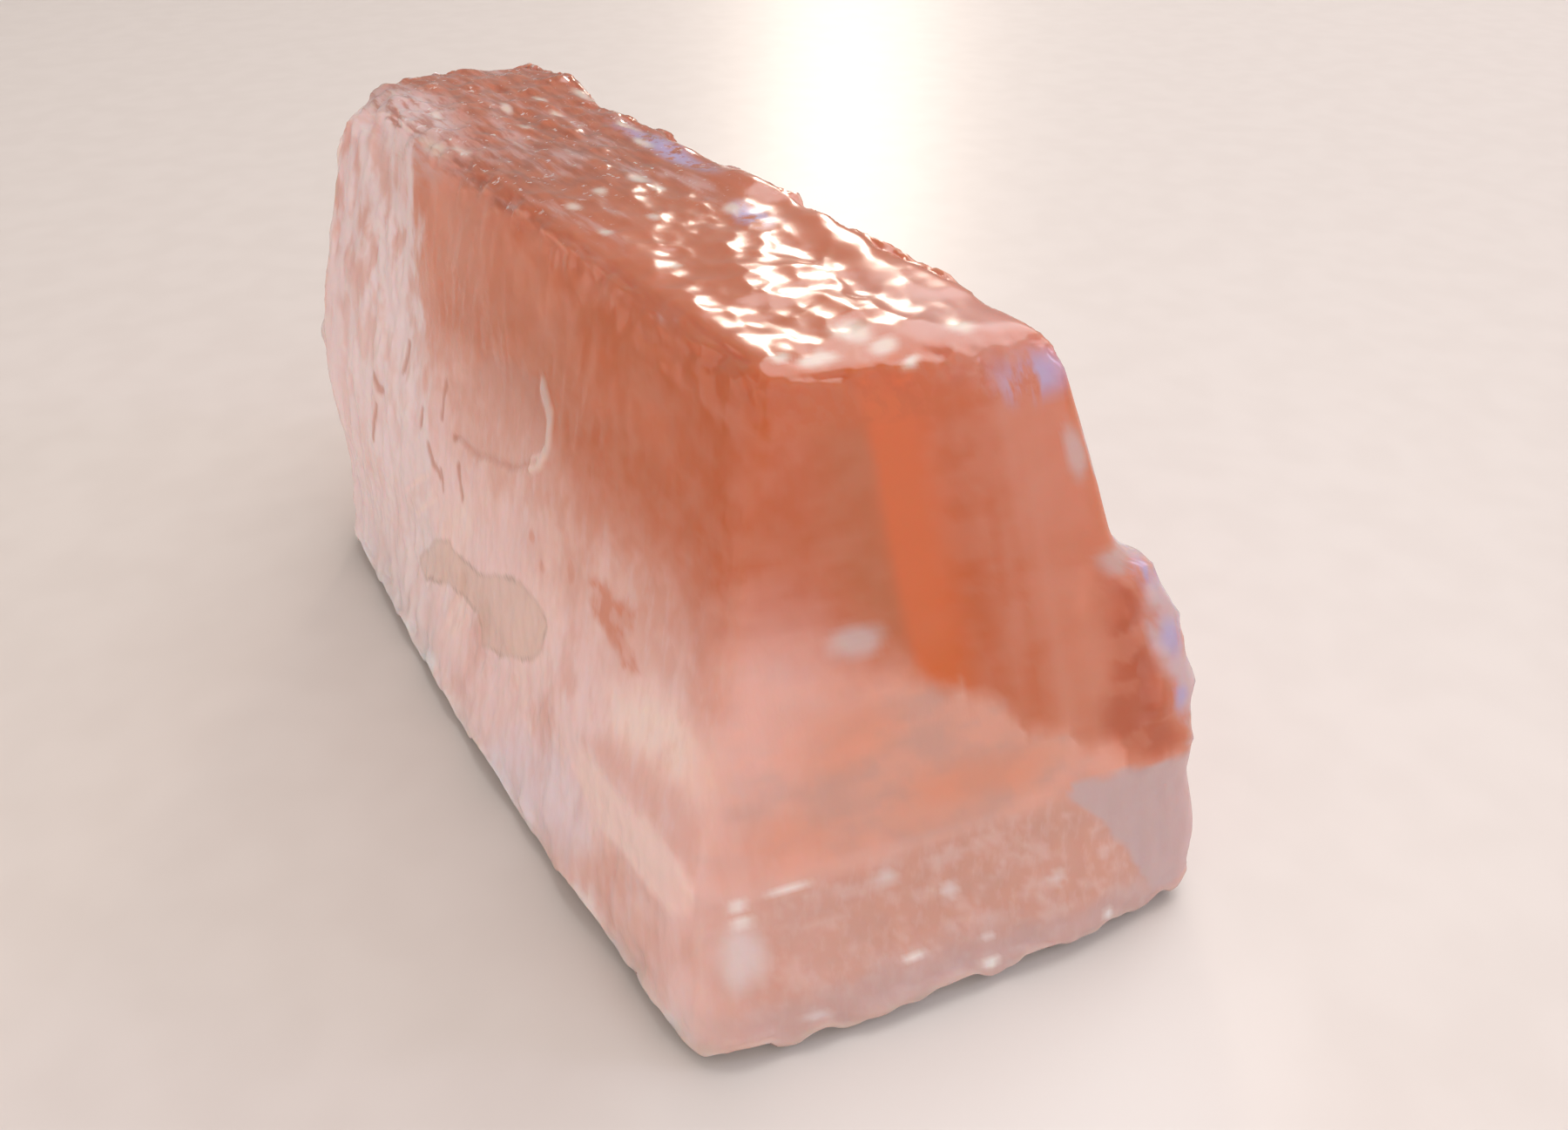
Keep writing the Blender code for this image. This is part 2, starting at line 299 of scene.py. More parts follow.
CHIP = [
    (16.7, 30.1), (7.4, 37.2), (-0.7, 39.0), (-6.4, 39.4), (-9.0, 37.2),
    (-9.8, 34.7), (-8.2, 32.6), (-1.5, 29.5), (5.9, 27.4), (11.9, 26.2),
]
CHIP_RIM = [(-5.8, 39.2), (-8.6, 37.5), (-9.7, 35.2), (-9.2, 33.5), (-7.4, 32.3)]
CHIP_LOW = [(-8.2, 32.6), (-1.5, 29.5), (5.9, 27.4), (11.9, 26.2)]
RUST_PLACE = [
    (-22.8, 29.1), (-24.9, 29.7), (-28.8, 30.0), (-31.4, 30.3), (-31.6, 29.0),
    (-30.2, 27.7), (-32.3, 27.2), (-34.6, 26.5), (-32.5, 25.8), (-29.4, 26.0),
    (-27.4, 26.6), (-24.9, 26.1), (-23.8, 27.2), (-24.9, 28.5),
]
RUST_SPOTS = (
    [(-13.8, 25.2), (-13.9, 25.2)],
    [(-10.6, 26.6), (-10.8, 26.5)],
    [(-19.1, 27.9), (-19.6, 27.6)],
)
STAIN = [
    (17.0, 9.6), (14.0, 12.9), (9.7, 15.4), (6.5, 15.0), (2.0, 16.1), (-4.4, 19.1),
    (-10.0, 21.3), (-14.7, 21.9), (-17.6, 21.1), (-17.8, 18.7), (-14.6, 15.4), (-9.7, 12.9),
    (-4.2, 10.9), (-2.3, 13.1), (3.4, 12.1), (8.9, 10.5), (14.5, 8.5),
]
LEFT_BELT = [(-49.4, 15.8), (-45.3, 17.8), (-39.3, 17.3), (-33.0, 16.9), (-28.6, 16.4)]
LOW_RIDGE = [(-21.7, 5.8), (-17.5, 6.4), (-10.3, 5.8), (-3.9, 5.6), (2.2, 5.7), (10.3, 4.8)]
NEAR_BELT = [(-21.5, 15.8), (-18.7, 15.2), (-14.4, 15.1), (-8.5, 15.3), (2.5, 15.6), (10.7, 16.2)]

points, facings = points_and_facings()
facing_right, facing_far, facing_up = facings.T
on_left = fade(-facing_right, 0.3, 0.6)
on_near = fade(-facing_far, 0.3, 0.6)
straight = drifted(5, 0.6)
crack = thin_marks(CRACKS, 0.12, 0.55)
scratch = thin_marks(SCRATCHES, 0.1, 0.5)
rust = area(RUST_PLACE, LEFT, 0.6, drifted(3, 0.8)) * (0.5 + 0.5 * fade(cloud(1.6), 0.40, 0.54))
for line in RUST_SPOTS:
    rust = np.maximum(rust, 0.5 - fade(distance_to(line, LEFT, straight), 0.3, 1.2))
rust = np.clip(rust, 0, 1) * on_left
chip = area(CHIP, LEFT, 1.0, straight) * on_left
rim = (1 - fade(distance_to(CHIP_RIM, LEFT), 0.4, 1.2)) * on_left
chip_low = thin_marks([CHIP_LOW], 0.1, 0.6)
stain = area(STAIN, LEFT, 0.35, drifted(3, 0.5)) * on_left
stain_line = 4 * stain * (1 - stain)
left_crest = (1 - fade(distance_to(LEFT_BELT, LEFT), 0.2, 1.3)) * on_left * (1 - on_near)
near_crest = (1 - fade(distance_to(NEAR_BELT, NEAR), 0.2, 1.2)) * on_near
near_crest *= 1 - fade(points[:, 0] / MM, 6, 11)
low_ridge = (1 - fade(distance_to(LOW_RIDGE, NEAR), 0.1, 0.8)) * on_near * fade(cloud(4), 0.42, 0.55)

# How far each mark stands out of the surface in mm. Those below zero are cut in.
rises = (
    (rim, 0.25),
    (left_crest, 0.15),
    (near_crest, 0.04),
    (low_ridge, 0.12),
    (crack, -0.10),
    (scratch, -0.10),
    (chip, -0.22),
    (chip_low, -0.15),
    (stain, -0.06),
)
outward = sum(rise * mark for mark, rise in rises)
points += facings * outward[:, None] * MM

# The worn lower edge curves up off the floor in waves, which leaves a thin dark gap.
EDGE_LIFT = 1.3
EDGE_START = 0.3
EDGE_REACH = 4.5
EDGE_HEIGHT = 3.6
SIDE_START = 0.3
SIDE_END = 1.2

height = points[:, 2] / MM
on_base = height < SIDE_START
on_side = np.flatnonzero((height > SIDE_START) & (height < SIDE_END))
sides = KDTree(len(on_side))
for number in on_side:
    sides.insert(points[number], int(number))
sides.balance()
gap = np.full(len(points), np.inf)
for number in np.flatnonzero(on_base):
    gap[number] = sides.find(points[number])[2] / MM
side_edge = 1 - fade(height, SIDE_START, EDGE_HEIGHT)
edge = np.where(on_base, 1 - fade(gap, EDGE_START, EDGE_REACH), side_edge)
# Painted shade: this share darkens the underside of the lifted edge, where little light reaches.
under = np.where(on_base, edge, fade(height, 0.8, 0.35))
points[:, 2] += EDGE_LIFT * edge * (0.25 + 0.9 * fade(cloud(5), 0.36, 0.62)) * MM
points[:, 2] = np.maximum(points[:, 2], 0)
stone.data.vertices.foreach_set("co", points.ravel())
stone.data.update()
bpy.ops.object.shade_smooth()
keep("crack", np.maximum(crack, 0.5 * chip_low))
keep("scratch", scratch)
keep("rust", rust)
keep("chip", chip)
keep("rim", rim)
keep("stain", stain)
keep("stain_line", stain_line * (0.4 + 0.6 * fade(cloud(4), 0.45, 0.6)))
keep("crest", near_crest)
keep("under", under)

# Zones of the stone, on the same points. The upper body is clear orange. Its lower limit is soft
# on the left and comes down to the ledge in small steps on the right.
LIMIT_X = (-23, -15, -8, -1, 1, 5, 8, 13, 15, 19, 25)
LIMIT_Z = (32.0, 34.5, 31.8, 29.0, 27.0, 24.4, 22.3, 19.9, 18.0, 16.2, 16.0)
STEP_START = 2
STEP_WIDTH = 4.4
WEDGE = [
    (-28.9, 16.4), (-33.3, 19.8), (-39.2, 21.4), (-43.9, 22.4), (-47.7, 21.1),
    (-50.0, 17.2), (-50.4, 15.4), (-49.2, 16.0), (-41.6, 17.6),
]
CHAMFER = [
    (-28.6, 15.6), (-39.0, 16.8), (-46.2, 17.3), (-49.6, 15.7), (-49.8, 13.8), (-46.7, 12.3),
    (-42.6, 11.4), (-38.1, 11.1), (-34.5, 10.8), (-30.5, 11.2), (-27.8, 13.0),
]
WARM_LOW = [
    (-33.9, 8.9), (-40.3, 12.1), (-46.5, 11.9), (-49.5, 9.8), (-48.4, 3.4), (-43.0, 1.4), (-35.7, 4.0),
]
LAVENDER_LOW = [
    (-19.0, 9.7), (-27.2, 12.9), (-29.4, 10.3), (-32.9, 8.1), (-29.9, 3.6),
    (-24.9, 1.6), (-17.3, 1.1), (-10.5, 2.3), (-14.9, 8.4),
]
# The cream place is a painted highlight on the left side.
CREAM_HIGHLIGHT_PLACE = [
    (-31.4, 22.8), (-35.7, 26.6), (-40.6, 27.4), (-45.5, 26.0), (-47.0, 23.0),
    (-45.0, 21.4), (-40.0, 20.2), (-34.7, 19.5), (-31.6, 20.5),
]
FACET = [
    (10.2, 16.9), (15.1, 16.6), (19.6, 16.0), (26.0, 15.2), (26.0, 2.0),
    (18.0, 2.2), (16.4, 6.0), (14.2, 9.6), (12.1, 12.9), (9.2, 15.6),
]
# The rim place is a painted highlight, pale and lavender, on the ledge rim.
RIM_HIGHLIGHT_PLACE = [
    (18.0, 34.9), (30.0, 34.6), (30.0, 16.5), (21.6, 16.6), (20.7, 19.5), (20.2, 23.4), (19.3, 28.6),
    (18.6, 32.6),
]
RED_PLACE = [
    (16.2, 33.2), (18.8, 32.0), (19.0, 28.6), (19.9, 23.4), (20.6, 17.6),
    (19.2, 16.2), (15.3, 18.0), (13.6, 20.4), (15.6, 26.2),
]
# Each round mark has its middle and its half widths across, along and up, in mm.
# The veils are partly milky veils and partly painted glints and bluish reflections on chipped edges.
VEILS_AND_GLINTS = (
    ((-6.2, -46.6, 32.7), (2.2, 3.0, 1.2)),
    ((14.9, -47.2, 43.3), (0.9, 3.0, 2.0)),
    ((17.6, -51.3, 34.0), (1.7, 3.0, 1.0)),
    ((-20.4, -52.0, 9.6), (1.6, 2.6, 2.4)),
    ((-8.3, -22.5, 51.6), (0.9, 1.6, 0.8)),
    ((-7.4, -54.0, 12.8), (0.8, 1.5, 0.6)),
    ((-2.1, -56.1, 10.1), (0.9, 1.5, 0.6)),
    ((7.6, -59.2, 8.6), (0.7, 1.5, 0.5)),
    ((0.5, -59.0, 4.6), (0.7, 1.5, 0.5)),
    ((-15.6, -56.9, 2.6), (1.2, 2.0, 0.7)),
)
# The sparks are painted glints: small white highlights on the near side's lower part.
SPARK_GLINTS = (
    ((-19.8, -50.8, 14.3), (0.7, 1.0, 0.6)),
    ((-19.7, -51.2, 12.7), (0.8, 1.0, 0.5)),
    ((-15.6, -51.7, 14.6), (1.6, 1.2, 0.4)),
    ((-6.4, -57.3, 5.5), (0.9, 1.2, 0.4)),
    ((0.4, -60.0, 2.6), (0.8, 1.2, 0.4)),
    ((12.6, -62.0, 2.8), (0.5, 1.0, 0.4)),
)
# The glows are a painted orange glow on the near side, where light comes through the stone.
GLOWS = (
    ((-16.0, -50.0, 17.4), (5.0, 4.0, 1.9)),
    ((-9.0, -49.5, 25.5), (4.5, 4.0, 2.2)),
    ((2.0, -54.0, 19.5), (6.0, 4.0, 1.6)),
)
# The violet places are a painted reflection of a bluish light on the edges.
VIOLET_REFLECTION_PLACES = (
    ((12.6, -44.0, 49.4), (3.0, 2.4, 1.6)),
    ((11.9, 15.0, 52.0), (1.3, 10.0, 1.5)),
    ((20.1, -52.5, 32.2), (1.0, 2.0, 1.0)),
    ((21.6, -55.0, 26.5), (0.9, 2.0, 1.6)),
    ((21.8, -57.6, 21.2), (0.8, 2.0, 1.0)),
    ((9.0, -8.0, 52.0), (1.6, 3.0, 1.5)),
)
# Each small painted glint on the top: its place, its half width across and its half length along, in
# mm.
TOP_GLINTS = (
    (-4.3, 42.3, 0.5, 1.8), (-8.4, 32.2, 1.0, 2.8), (-6.8, 27.5, 0.7, 1.8), (3.6, 40.1, 0.5, 1.8),
    (2.5, 31.6, 0.5, 1.4), (8.2, 40.9, 0.5, 1.8), (14.0, 40.0, 0.8, 2.6), (7.8, 34.2, 0.5, 1.4),
    (12.6, 25.6, 0.6, 2.0), (11.0, 18.4, 0.6, 2.0), (4.5, 7.2, 0.9, 1.3), (-0.6, 5.5, 0.6, 1.1),
    (-4.7, 3.3, 0.8, 1.1), (5.0, 3.9, 0.6, 0.8), (-4.9, -4.6, 0.6, 0.8), (0.4, -3.8, 0.5, 0.8),
    (8.0, -5.4, 0.9, 1.2), (-3.6, -14.3, 0.5, 0.8), (9.4, -38.6, 1.1, 1.1), (1.8, -34.4, 1.6, 1.5),
    (2.4, -37.2, 1.2, 0.8), (-2.9, -36.8, 1.4, 0.8), (-5.4, -35.2, 0.9, 0.7), (3.2, -39.8, 0.9, 0.5),
)
GLINT_HEIGHT = 52
GLINT_DEPTH = 3

x, y, z = (points / MM).T
waved = drifted(9, 1.6)
x_waved, y_waved, z_waved = waved.T
near = fade(y - 0.371 * z, -50, -60)
top = fade(z, 49.2, 51.2) * fade(facing_up, 0.35, 0.75)
broken = np.maximum(fade(facing_right, 0.25, 0.6), fade(facing_far, 0.3, 0.6))

# The limit between the milky lower body and the clear upper body, and the pale flare at the far left.
in_steps = np.where(x > STEP_START, STEP_WIDTH * np.floor(x / STEP_WIDTH + 0.5), x)
limit = np.interp(0.6 * in_steps + 0.4 * x_waved, LIMIT_X, LIMIT_Z) + 4.5 * (cloud(5, 4) - 0.5)
limit_width = 1.5 + 4.5 * fade(x, 2, -14)
ragged = cloud(2.6, 4, stretch=(1, 1, 5), tilt=18)
flare = fade(y - FLARE_LEAN * z + 16 * (ragged - 0.5), 0.5, 3.5) * fade(x, 2, -6)
flare_cloud = fade(cloud(2.8, 4, stretch=(1, 1, 2.2), tilt=20), 0.44, 0.62)
clear = fade((z_waved - limit) / limit_width, -1, 1) * (1 - 0.92 * flare)
keep("near", near)
keep("clear", clear)
keep("flare", flare)
keep("flare_red", flare_cloud * (0.35 + 0.65 * fade(z, 20, 42)))

# Clouds of the milky body, most of them on the left side. The cream place on the left is a painted
# highlight, and the glow patches on the near side are a painted glow.
cream_and_highlight = area(CREAM_HIGHLIGHT_PLACE, LEFT, 2.0, waved) * on_left
wedge = area(WEDGE, LEFT, 1.4, straight) * on_left * (1 - on_near)
warm_low = 0.6 * area(WARM_LOW, LEFT, 2.0, waved)
warm = np.maximum(0.85 * fade(z_waved, 19, 31) * (1 - cream_and_highlight), warm_low) * on_left
keep("cream_and_highlight", np.maximum(0.5 * fade(cloud(11), 0.46, 0.68), cream_and_highlight))
keep("salmon", np.maximum(0.6 * fade(cloud(6, 5, stretch=(1, 1, 2)), 0.50, 0.68), 0.55 * wedge))
keep("warm", warm * (0.6 + 0.4 * fade(cloud(4, 4), 0.40, 0.60)))
keep("lavender", area(LAVENDER_LOW, LEFT, 2.5, waved) * on_left)
keep("pale_cloud", patch((-11.5, -45, 33), (4.5, 6, 4), 0.6, waved))
keep("near_cloud", fade(cloud(8, 4, stretch=(2, 2, 1)), 0.40, 0.62))
keep("glow", patches(GLOWS, 0.8, waved))

# Zones of the clear body: the amber near end, and the bright band and pink right part behind the
# near side. The bright band is partly painted glow, where light comes through the stone.
upright = cloud(2.6, 2, stretch=(1, 1, 12), tilt=20)
amber_end = patch((-8, -42, 42), (6, 14, 10), 0.5, waved)
keep("mottle", fade(cloud(2.6, 4, stretch=(1.6, 1.6, 0.9)), 0.36, 0.64))
keep("amber", np.maximum(0.5 * fade(cloud(9, 4), 0.46, 0.66), amber_end))
keep("far", fade(y_waved, -14, 34))
keep("near_end", fade(y_waved, -4, -46))
keep("glow_band", fade(x + 0.3 * (x_waved - x), -3.0, -1.0) * fade(x, 5.0, 0.6) * near * clear)
keep("band_edge", fade(x, -9.0, -3.0) * fade(x, -1.0, -2.6) * near * clear)
keep("upright", fade(upright, 0.40, 0.64) * fade(x, 4, 8) * near * clear)
keep("pink_right", fade(x_waved, 5, 12) * near * clear)
keep("red", area(RED_PLACE, NEAR, 1.4, straight) * near)

# The broken sides, the ledge rim with its painted highlight, and the etched band below the belt
# with its veils, which are partly painted glints and reflections, and its painted sparks.
split = cloud(5, 5, stretch=(1, 1.8, 1))
belt = fade(z_waved, 16.4, 14.8) * (1 - 0.7 * fade(x, 6, 12) * (1 - near))
keep("split", broken * fade(split, 0.38, 0.52))
keep("frost", broken * fade(split, 0.50, 0.66))
keep("rim_pale_highlight", area(RIM_HIGHLIGHT_PLACE, NEAR, 0.8, waved) * fade(split, 0.30, 0.52))
keep("belt_near", belt * near)
keep("flecks", belt * near * fade(cloud(2.0, 4, stretch=(1.3, 1.3, 1)), 0.50, 0.66))
keep("chamfer", area(CHAMFER, LEFT, 0.7, straight) * on_left * (1 - on_near))
keep("facet", area(FACET, NEAR, 0.3, straight) * near)
keep("low_near", fade(z_waved, 7.0, 3.6) * near)
keep("veil_and_glint", patches(VEILS_AND_GLINTS, 0.6, straight))
keep("spark_glint", patches(SPARK_GLINTS, 0.8))

# The top, its worn bevel above the near side, its frosted streaks, its painted glints and its painted
# violet reflection on the edge.
bevel = fade(z, 46.5, 49.0) * near * fade(facing_up, 0.36, 0.46) * fade(facing_up, 0.99, 0.93)
top_streaks = cloud(2.4, 4, stretch=(1, 5, 1))
# The frosted far corner of the top also carries a painted sheen.
top_corner = patch((-7, 45, 51), (5, 17, 5), 0.5, waved)
frosted = top * fade(top_streaks, 0.50, 0.70) * fade(y_waved, -16, 4)
glints = [((x_0, y_0, GLINT_HEIGHT), (wide, long, GLINT_DEPTH)) for x_0, y_0, wide, long in TOP_GLINTS]
keep("top", top)
keep("top_far", top * fade(y_waved, -12, 18))
keep("bevel", bevel)
keep("top_frost_and_sheen", np.maximum(0.6 * frosted, top_corner * fade(top_streaks, 0.12, 0.38)))
keep("top_pale", patch((11, -37, 51.5), (5, 11, 3), 0.7, waved))
keep("glint", patches(glints, 0.6, straight) * top)
keep("violet_reflection", patches(VIOLET_REFLECTION_PLACES, 0.7, straight))


def new_material(name):
    """Starts a material, and gives it with its node tree, shader and object coordinates."""
    material = bpy.data.materials.new(name)
    material.use_nodes = True
    nodes = material.node_tree.nodes
    place = nodes.new("ShaderNodeTexCoord").outputs["Object"]
    return material, material.node_tree, nodes["Principled BSDF"], place


def add_node(kind, inputs, **settings):
    """Adds a node, sets it, and gives its inputs a value or a link each."""
    node = tree.nodes.new(kind)
    for name, value in settings.items():
        setattr(node, name, value)
    for key, value in inputs.items():
        if isinstance(value, bpy.types.NodeSocket):
            tree.links.new(value, node.inputs[key])
        else:
            node.inputs[key].default_value = value
    return node


def streaks(size, detail, stretch, tilt=0.0):
    """A fine streaky pattern from 0 to 1, read on the piece's own place."""
    scaled = add_node(
        "ShaderNodeMapping",
        {"Vector": place, "Scale": stretch, "Rotation": (-math.radians(tilt), 0, 0)},
        vector_type="TEXTURE",
    )
    settings = {"Vector": scaled.outputs[0], "Scale": 1 / size, "Detail": detail, "Roughness": 0.55}
    return add_node("ShaderNodeTexNoise", settings).outputs["Fac"]


def curve(value, start, end, low=0.0, high=1.0):
    """Turns a value into a soft step from low at start to high at end."""
    settings = {"Value": value, "From Min": start, "From Max": end, "To Min": low, "To Max": high}
    return add_node("ShaderNodeMapRange", settings, interpolation_type="SMOOTHSTEP").outputs[0]


def maths(operation, first, second):
    """Works out one sum on two values."""
    return add_node("ShaderNodeMath", {0: first, 1: second}, operation=operation).outputs[0]


def product(*shares):
    """Multiplies shares."""
    result = shares[0]
    for share in shares[1:]:
        result = maths("MULTIPLY", result, share)
    return result


def lay(below, colour, share):
    """Lays a colour over what is below, by a share."""
    over = colour if isinstance(colour, bpy.types.NodeSocket) else (*colour, 1)
    under = below if isinstance(below, bpy.types.NodeSocket) else (*below, 1)
    return add_node("ShaderNodeMix", {0: share, 6: under, 7: over}, data_type="RGBA").outputs[2]


def kept(name):
    """Reads a value that was kept on the stone's points."""
    return add_node("ShaderNodeAttribute", {}, attribute_name=name).outputs["Fac"]


def lay_kept(below, *layers):
    """Lays colours over what is below, each where its kept value is high, by up to its share."""
    for colour, name, share in layers:
        below = lay(below, colour, product(kept(name), share))
    return below


PALE_PINK = (0.91, 0.62, 0.59)
CREAM = (1.0, 0.69, 0.61)
SALMON = (0.74, 0.37, 0.29)
LAVENDER = (0.84, 0.68, 0.72)
CLOUDY_SALMON = (0.635, 0.33, 0.255)
CLEAR_ORANGE = (0.80, 0.25, 0.11)
CLEAR_SALMON = (0.92, 0.38, 0.245)
AMBER = (0.77, 0.17, 0.036)
BRIGHT_ORANGE = (0.95, 0.20, 0.035)
RUSTY_ORANGE = (0.68, 0.20, 0.06)
DARK_RED = (0.67, 0.145, 0.052)
FROST = (0.86, 0.68, 0.67)
PEACH = (1.0, 0.67, 0.61)
GREY_PINK = (0.58, 0.405, 0.395)
TOP_SALMON = (0.70, 0.215, 0.105)
TOP_DEEP = (0.50, 0.155, 0.08)
VIOLET_REFLECTION = (0.62, 0.56, 0.86)
GLINT_WHITE = (0.98, 0.92, 0.88)
GLINT = (1.0, 0.84, 0.72)
RUST = (0.68, 0.22, 0.12)
CRACK_BROWN = (0.56, 0.23, 0.15)
UNDERSIDE_SHADE = (0.22, 0.13, 0.12)
WHITE_VEIL_AND_GLINT = (0.80, 0.66, 0.64)
STAIN_BEIGE = (0.72, 0.48, 0.38)
STAIN_EDGE = (0.42, 0.27, 0.20)

calcite, tree, shader, place = new_material("pink_calcite")
clear = kept("clear")
near = kept("near")
belt_near = kept("belt_near")
up_streaks = streaks(1.5 * MM, 3, (1, 1, 6), tilt=20)
etch = streaks(0.9 * MM, 3, (1, 1, 4))
long_streaks = streaks(0.9 * MM, 3, (1, 6, 1))

# The lower body is milky: pale pink with cream, salmon and lavender clouds and fine streaks. Part of
# the cream is a painted highlight, and the near side gets a painted orange glow.
colour = lay(PALE_PINK, CREAM, kept("cream_and_highlight"))
colour = lay(colour, SALMON, kept("salmon"))
colour = lay_kept(colour, (LAVENDER, "lavender", 0.7))
colour = lay(colour, SALMON, kept("warm"))
colour = lay(colour, SALMON, product(curve(up_streaks, 0.46, 0.70), 0.20))
colour = lay(colour, LAVENDER, product(curve(up_streaks, 0.50, 0.30), 0.20))
near_colour = lay(CLOUDY_SALMON, SALMON, kept("near_cloud"))
near_colour = lay_kept(near_colour, (CLEAR_SALMON, "mottle", 0.34), (CLEAR_ORANGE, "glow", 0.4))
colour = lay(colour, near_colour, near)

# The upper body is clear: amber at the near end, paler and more pink towards the far end.
clear_colour = lay(CLEAR_ORANGE, AMBER, kept("near_end"))
clear_colour = lay(clear_colour, CLEAR_SALMON, kept("far"))
clear_colour = lay(clear_colour, AMBER, kept("amber"))
clear_colour = lay_kept(
    clear_colour,
    (CLEAR_SALMON, "pink_right", 0.62),
    (CLEAR_SALMON, "upright", 0.5),
    (CLEAR_SALMON, "mottle", 0.30),
)
# The bright band is partly painted glow, where light comes through the stone.
clear_colour = lay(clear_colour, BRIGHT_ORANGE, kept("glow_band"))
clear_colour = lay_kept(clear_colour, (RUSTY_ORANGE, "band_edge", 0.6))
flare_colour = lay_kept(FROST, (SALMON, "flare_red", 0.8))
colour = lay(colour, clear_colour, clear)
colour = lay_kept(colour, (PALE_PINK, "pale_cloud", 0.2))
colour = lay(colour, DARK_RED, product(kept("red"), curve(kept("mottle"), 0.9, 0.2, 0.45, 0.85)))
colour = lay_kept(colour, (flare_colour, "flare", 0.85), (SALMON, "chip", 0.35))

# The broken sides are frosted where the stone split, and still clear between. The ledge rim gets a
# painted pale highlight.
colour = lay_kept(colour, (SALMON, "split", 0.85), (FROST, "frost", 0.85), (LAVENDER, "rim_pale_highlight", 0.85))

# The band below the belt is etched: peach on the left chamfer, streaked salmon on the near side.
colour = lay_kept(colour, (PEACH, "chamfer", 0.95))
colour = lay(colour, CLOUDY_SALMON, product(belt_near, 0.7))
colour = lay(colour, FROST, product(belt_near, curve(etch, 0.45, 0.70), 0.12))
# The veils laid here are partly painted glints and reflections.
colour = lay_kept(
    colour,
    (FROST, "flecks", 0.22),
    (GREY_PINK, "low_near", 0.6),
    (GREY_PINK, "facet", 0.9),
    (FROST, "crest", 0.08),
    (WHITE_VEIL_AND_GLINT, "veil_and_glint", 0.7),
)

# The top is a deeper salmon, with frost along its worn edges and a painted sheen on its far corner.
colour = lay_kept(colour, (TOP_SALMON, "top", 0.9))
colour = lay_kept(colour, (AMBER, "bevel", curve(long_streaks, 0.40, 0.58, 0.9, 0.5)))
colour = lay_kept(colour, (TOP_DEEP, "top_far", curve(long_streaks, 0.36, 0.60, 1.0, 0.35)))
colour = lay_kept(colour, (PALE_PINK, "top_pale", 0.35))
colour = lay_kept(colour, (FROST, "top_frost_and_sheen", curve(long_streaks, 0.34, 0.58, 0.25, 0.8)))
# Painted reflections and glints: the violet reflection on the edges, white sparks on the near side,
# white dots on the far top and glints on the top.
colour = lay(colour, VIOLET_REFLECTION, product(kept("violet_reflection"), curve(up_streaks, 0.36, 0.54), 0.85))
colour = lay_kept(colour, (GLINT_WHITE, "spark_glint", 0.7))
colour = lay(colour, GLINT_WHITE, product(kept("top_far"), curve(etch, 0.64, 0.70), 0.7))
colour = lay_kept(colour, (GLINT, "glint", 0.85))

# Cracks, scratches, rust and the stain were drawn on the surface.
colour = lay_kept(
    colour,
    (STAIN_BEIGE, "stain", 0.55),
    (STAIN_EDGE, "stain_line", 0.6),
    (CREAM, "rim", 0.85),
    (CREAM, "scratch", 0.5),
    (RUST, "rust", 0.85),
    (CRACK_BROWN, "crack", 0.7),
)
# Painted shade: the underside of the lifted lower edge is darkened.
colour = lay(colour, UNDERSIDE_SHADE, kept("under"))
tree.links.new(colour, shader.inputs["Base Color"])

# The clear body and the top let light through and are polished most. The milky body scatters it,
# and its etched skin is a little duller.
SEE_THROUGH_SHARE = 0.33
MILKY_ROUGHNESS = 0.26
CLEAR_ROUGHNESS = 0.20
FAR_TOP_POLISH = 0.07
BEVEL_WEAR = 0.05
ETCH_STRENGTH = 0.3
ETCH_DEPTH = 0.15 * MM
CALCITE_IOR = 1.57
MILKINESS = 0.6
MILKY_REACH = (1.0, 0.38, 0.22)
MILKY_DEPTH = 6 * MM
INSIDE_COLOUR = (1.0, 0.55, 0.38, 1)
INSIDE_DENSITY = 22.0

see_through = maths("MAXIMUM", clear, product(kept("top"), 0.8))
tree.links.new(product(see_through, SEE_THROUGH_SHARE), shader.inputs["Transmission Weight"])
gloss = curve(see_through, 0.0, 1.0, MILKY_ROUGHNESS, CLEAR_ROUGHNESS)
gloss = maths("SUBTRACT", gloss, product(kept("top_far"), FAR_TOP_POLISH))
gloss = maths("ADD", gloss, product(kept("bevel"), BEVEL_WEAR))
tree.links.new(gloss, shader.inputs["Roughness"])
etch_height = product(etch, maths("SUBTRACT", 1.0, see_through))
etched = {"Height": etch_height, "Strength": ETCH_STRENGTH, "Distance": ETCH_DEPTH}
tree.links.new(add_node("ShaderNodeBump", etched).outputs[0], shader.inputs["Normal"])
shader.inputs["IOR"].default_value = CALCITE_IOR
shader.inputs["Subsurface Weight"].default_value = MILKINESS
shader.inputs["Subsurface Radius"].default_value = MILKY_REACH
shader.inputs["Subsurface Scale"].default_value = MILKY_DEPTH
inside = add_node("ShaderNodeVolumeAbsorption", {"Color": INSIDE_COLOUR, "Density": INSIDE_DENSITY})
tree.links.new(inside.outputs[0], tree.nodes["Material Output"].inputs["Volume"])

stone.data.materials.clear()
stone.data.materials.append(calcite)
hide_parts("calcite_block")
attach(stone, "root")

# The floor that the stone stands on: a pale, slightly warm satin surface. It mirrors the bright
# light behind as a soft glare, and has a painted pool of light, a soft paler patch, before the near
# end.

TABLE_SIZE = 12.0
TABLE_ROUGHNESS = 0.38
TABLE_TONES = ((0.695, 0.605, 0.55), (0.715, 0.625, 0.57))
TONE_SIZE = 9 * MM
LIGHT_POOL_TONE = (0.80, 0.73, 0.68)
LIGHT_POOL_PLACE = (-8 * MM, -68 * MM, 0)
LIGHT_POOL_SIZE = (38 * MM, 30 * MM, 1)

